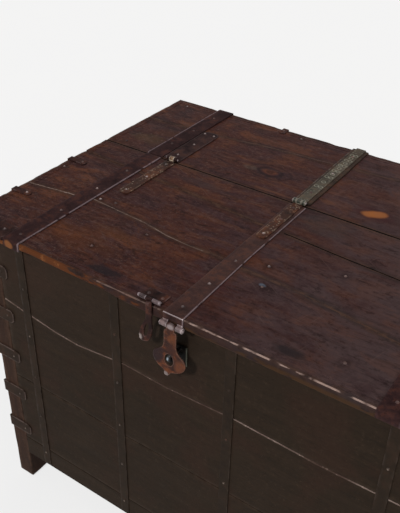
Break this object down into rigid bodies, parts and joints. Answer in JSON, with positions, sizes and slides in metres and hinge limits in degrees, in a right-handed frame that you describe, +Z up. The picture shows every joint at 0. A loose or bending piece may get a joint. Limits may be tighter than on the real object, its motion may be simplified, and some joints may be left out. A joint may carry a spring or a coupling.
{
  "type": "storage chest",
  "caption": "Long wooden storage chest on post feet, with iron straps, a strap-hinged lid over the front part of the top, a pear-shaped hasp with a staple and a slotted hasp.",
  "frame": {"origin": "on the floor, at the middle of the chest's footprint", "axes": "+X right along the length, +Y to the back, +Z up, seen from the front"},
  "size_m": [1.125, 0.8185, 0.815],
  "materials": {
    "top_boards": "dark reddish-brown boards, rubbed and scratched, with a dull sheen",
    "wall_boards": "dark, faintly greenish brown boards, dry and dusty",
    "posts": "dark brown, worn lighter on the edges",
    "hidden_boards": "plain aged wood, not darkened",
    "wall_bands": "blackened wrought iron, the tone of the walls",
    "top_straps": "brown wrought iron, rubbed at the edges",
    "hinge_iron": "pitted wrought iron, rubbed bright at the knuckles",
    "hasps": "rusted wrought iron",
    "staple_iron": "wrought iron, rubbed to bluish grey",
    "nails": "hand-made nails with small faceted heads"
  },
  "bodies": {
    "chest": {"back_bands": "wall_bands", "back_board_lower": "wall_boards", "back_board_middle": "wall_boards", "back_board_upper": "wall_boards", "back_clips": "top_straps", "bottom_rail_back": "wall_boards", "bottom_rail_front": "wall_boards", "bottom_rail_left": "wall_boards", "bottom_rail_right": "wall_boards", "corner_post_back_left": "posts", "corner_post_back_right": "posts", "corner_post_front_left": "posts", "corner_post_front_right": "posts", "corner_straps_back": "wall_bands", "corner_straps_front": "wall_bands", "end_bands": "wall_bands", "floor_boards": "hidden_boards", "front_bands": "wall_bands", "front_board_lower": "wall_boards", "front_board_middle": "wall_boards", "front_board_upper": "wall_boards", "left_board_lower": "wall_boards", "left_board_middle": "wall_boards", "left_board_upper": "wall_boards", "lid_hinge_pins": "hinge_iron", "rear_hinge_leaf_centre": "hinge_iron", "rear_hinge_leaf_left": "hinge_iron", "rear_hinge_leaf_right": "hinge_iron", "rear_strap_centre": "top_straps", "rear_strap_left": "top_straps", "rear_strap_right": "top_straps", "rear_top_board_back": "top_boards", "rear_top_board_front": "top_boards", "rear_top_nails": "nails", "right_board_lower": "wall_boards", "right_board_middle": "wall_boards", "right_board_upper": "wall_boards", "staple": "staple_iron", "staple_plate": "hinge_iron", "staple_plate_nails": "nails", "top_cross_rail": "hidden_boards"},
    "lid": {"lid_board_front": "top_boards", "lid_board_middle": "top_boards", "lid_board_rear": "top_boards", "lid_battens": "hidden_boards", "lid_strap_left": "top_straps", "lid_strap_centre": "top_straps", "lid_strap_right": "top_straps", "lid_hinge_leaf_left": "hinge_iron", "lid_hinge_leaf_centre": "hinge_iron", "lid_hinge_leaf_right": "hinge_iron", "lid_corner_plates": "top_straps", "lid_edge_clips": "top_straps", "lid_nails": "nails", "slotted_hasp_leaf": "hinge_iron", "slotted_hasp_pin": "hinge_iron", "hasp_pin": "hinge_iron"},
    "hasp": {"hasp": "hasps"},
    "slotted_hasp": {"slotted_hasp": "hasps"}
  },
  "joints": [
    {"name": "lid_hinge", "type": "hinge", "parent": "chest", "child": "lid", "pos_m": [0, 0.076, 0.808], "axis": [-1, 0, 0], "range_deg": [0, 170]},
    {"name": "hasp_hinge", "type": "hinge", "parent": "lid", "child": "hasp", "pos_m": [0, -0.406, 0.78], "axis": [-1, 0, 0], "range_deg": [-12, 150]},
    {"name": "slotted_hasp_hinge", "type": "hinge", "parent": "lid", "child": "slotted_hasp", "pos_m": [-0.059, -0.393, 0.807], "axis": [-1, 0, 0], "range_deg": [0, 195]}
  ]
}
